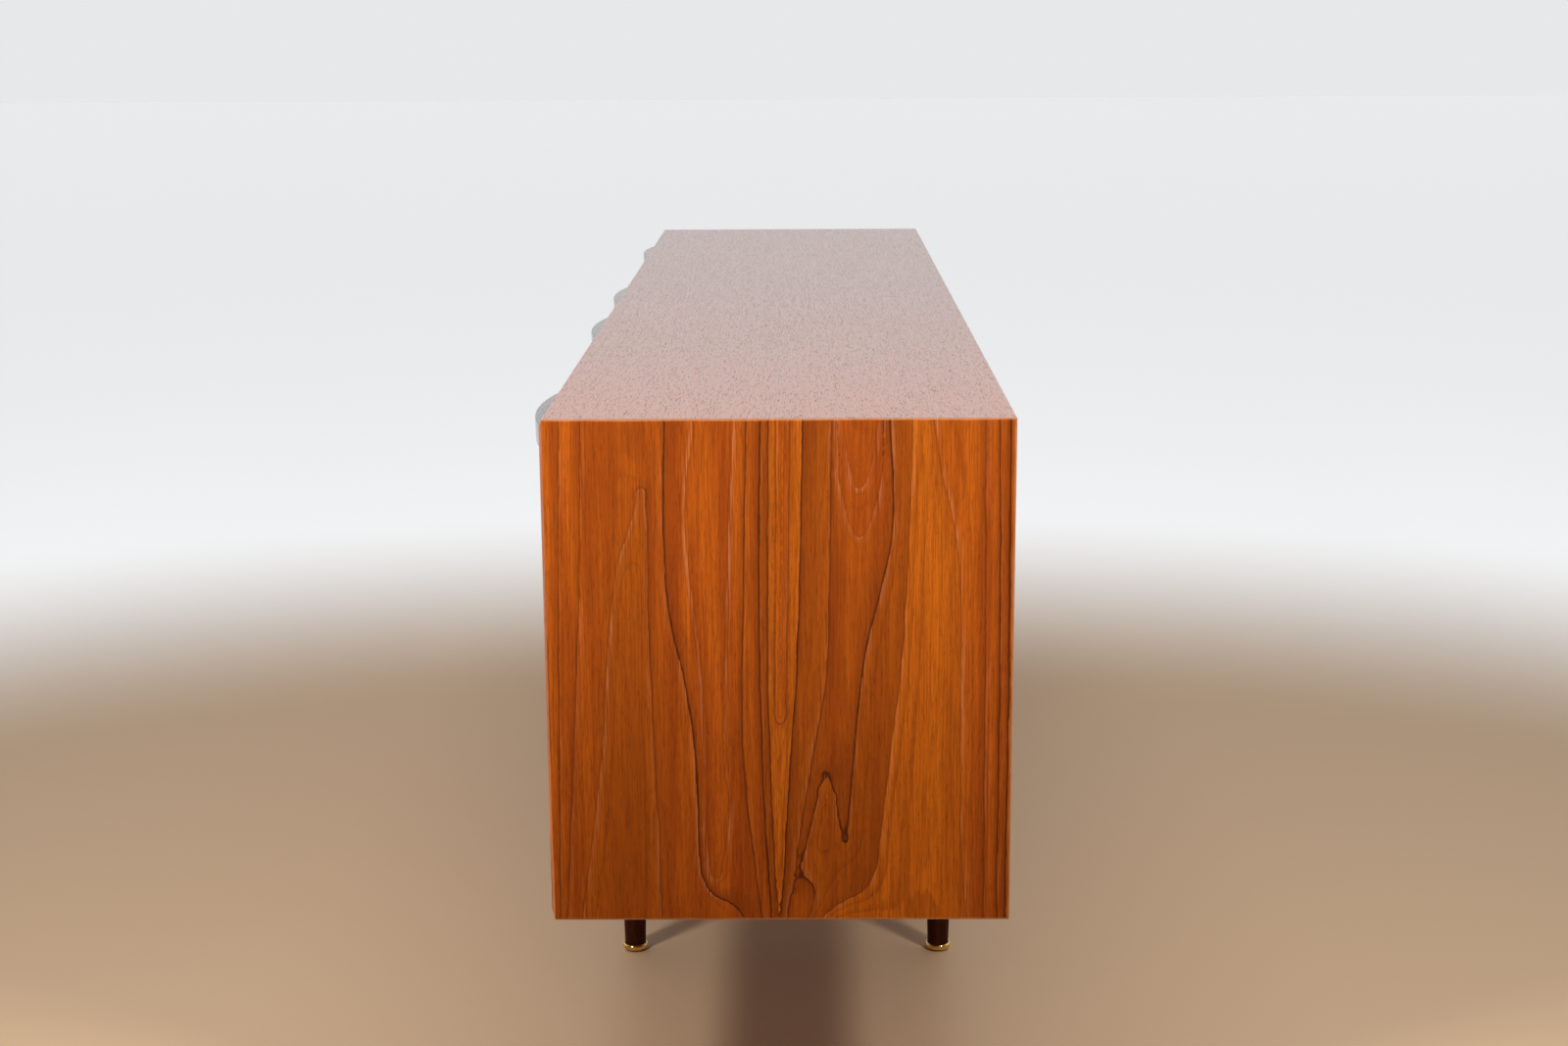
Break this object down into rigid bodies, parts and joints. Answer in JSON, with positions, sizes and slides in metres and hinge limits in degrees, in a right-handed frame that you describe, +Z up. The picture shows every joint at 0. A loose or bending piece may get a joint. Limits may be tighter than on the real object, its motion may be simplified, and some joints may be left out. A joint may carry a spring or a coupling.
{
  "type": "sideboard buffet",
  "caption": "Long low sideboard: a mitred teak case on turned legs, with hinged cupboard doors, sliding drawers and crescent lip pulls.",
  "frame": {"origin": "on the floor, under the middle of the object's box", "axes": "+X along the length towards the narrow cupboard, -Y towards the front with the doors and drawers, +Z up"},
  "size_m": [2, 0.475, 0.743],
  "materials": {
    "teak_veneer": "oiled, satin",
    "dark_wood": "oiled, satin",
    "drawer_wood": "waxed, matt",
    "back_ply": "unpolished, matt",
    "brass": "polished",
    "steel": "brushed",
    "magnet_case": "moulded, matt"
  },
  "bodies": {
    "case": {"back_left_glide": "brass", "back_left_leg": "dark_wood", "back_panel": "back_ply", "back_right_glide": "brass", "back_right_leg": "dark_wood", "bottom_panel": "teak_veneer", "centre_catch": "magnet_case", "centre_left_door_lower_hinge_case_leaf": "brass", "centre_left_door_upper_hinge_case_leaf": "brass", "centre_right_door_lower_hinge_case_leaf": "brass", "centre_right_door_upper_hinge_case_leaf": "brass", "centre_shelf": "teak_veneer", "front_left_glide": "brass", "front_left_leg": "dark_wood", "front_right_glide": "brass", "front_right_leg": "dark_wood", "left_bearer": "dark_wood", "left_end_panel": "teak_veneer", "left_partition": "teak_veneer", "lower_drawer_left_runner": "drawer_wood", "lower_drawer_right_runner": "drawer_wood", "middle_drawer_left_runner": "drawer_wood", "middle_drawer_right_runner": "drawer_wood", "right_bearer": "dark_wood", "right_catch": "magnet_case", "right_door_lower_hinge_case_leaf": "brass", "right_door_upper_hinge_case_leaf": "brass", "right_end_panel": "teak_veneer", "right_partition": "teak_veneer", "right_shelf": "teak_veneer", "top_drawer_left_runner": "drawer_wood", "top_drawer_right_runner": "drawer_wood", "top_panel": "teak_veneer"},
    "centre_left_door": {"centre_left_door": "teak_veneer", "centre_left_door_lower_hinge_door_leaf": "brass", "centre_left_door_pull": "dark_wood", "centre_left_door_strike": "steel", "centre_left_door_upper_hinge_door_leaf": "brass"},
    "centre_right_door": {"centre_right_door": "teak_veneer", "centre_right_door_lower_hinge_door_leaf": "brass", "centre_right_door_pull": "dark_wood", "centre_right_door_strike": "steel", "centre_right_door_upper_hinge_door_leaf": "brass"},
    "right_door": {"right_door": "teak_veneer", "right_door_lower_hinge_door_leaf": "brass", "right_door_pull": "dark_wood", "right_door_strike": "steel", "right_door_upper_hinge_door_leaf": "brass"},
    "lower_drawer": {"lower_drawer_bottom": "drawer_wood", "lower_drawer_box": "drawer_wood", "lower_drawer_front": "teak_veneer", "lower_drawer_pull": "dark_wood"},
    "middle_drawer": {"middle_drawer_bottom": "drawer_wood", "middle_drawer_box": "drawer_wood", "middle_drawer_front": "teak_veneer", "middle_drawer_pull": "dark_wood"},
    "top_drawer": {"top_drawer_bottom": "drawer_wood", "top_drawer_box": "drawer_wood", "top_drawer_front": "teak_veneer", "top_drawer_pull": "dark_wood"}
  },
  "joints": [
    {"name": "centre_left_door_hinge", "type": "hinge", "parent": "case", "child": "centre_left_door", "pos_m": [-0.61875, -0.2148, 0.4915], "axis": [0, 0, -1], "range_deg": [0, 90]},
    {"name": "centre_right_door_hinge", "type": "hinge", "parent": "case", "child": "centre_right_door", "pos_m": [0.61875, -0.2148, 0.4915], "axis": [0, 0, 1], "range_deg": [0, 90]},
    {"name": "right_door_hinge", "type": "hinge", "parent": "case", "child": "right_door", "pos_m": [0.98075, -0.2148, 0.4915], "axis": [0, 0, 1], "range_deg": [0, 110]},
    {"name": "lower_drawer_slide", "type": "slide", "parent": "case", "child": "lower_drawer", "axis": [0, -1, 0], "range_m": [0, 0.3]},
    {"name": "middle_drawer_slide", "type": "slide", "parent": "case", "child": "middle_drawer", "axis": [0, -1, 0], "range_m": [0, 0.3]},
    {"name": "top_drawer_slide", "type": "slide", "parent": "case", "child": "top_drawer", "axis": [0, -1, 0], "range_m": [0, 0.3]}
  ]
}
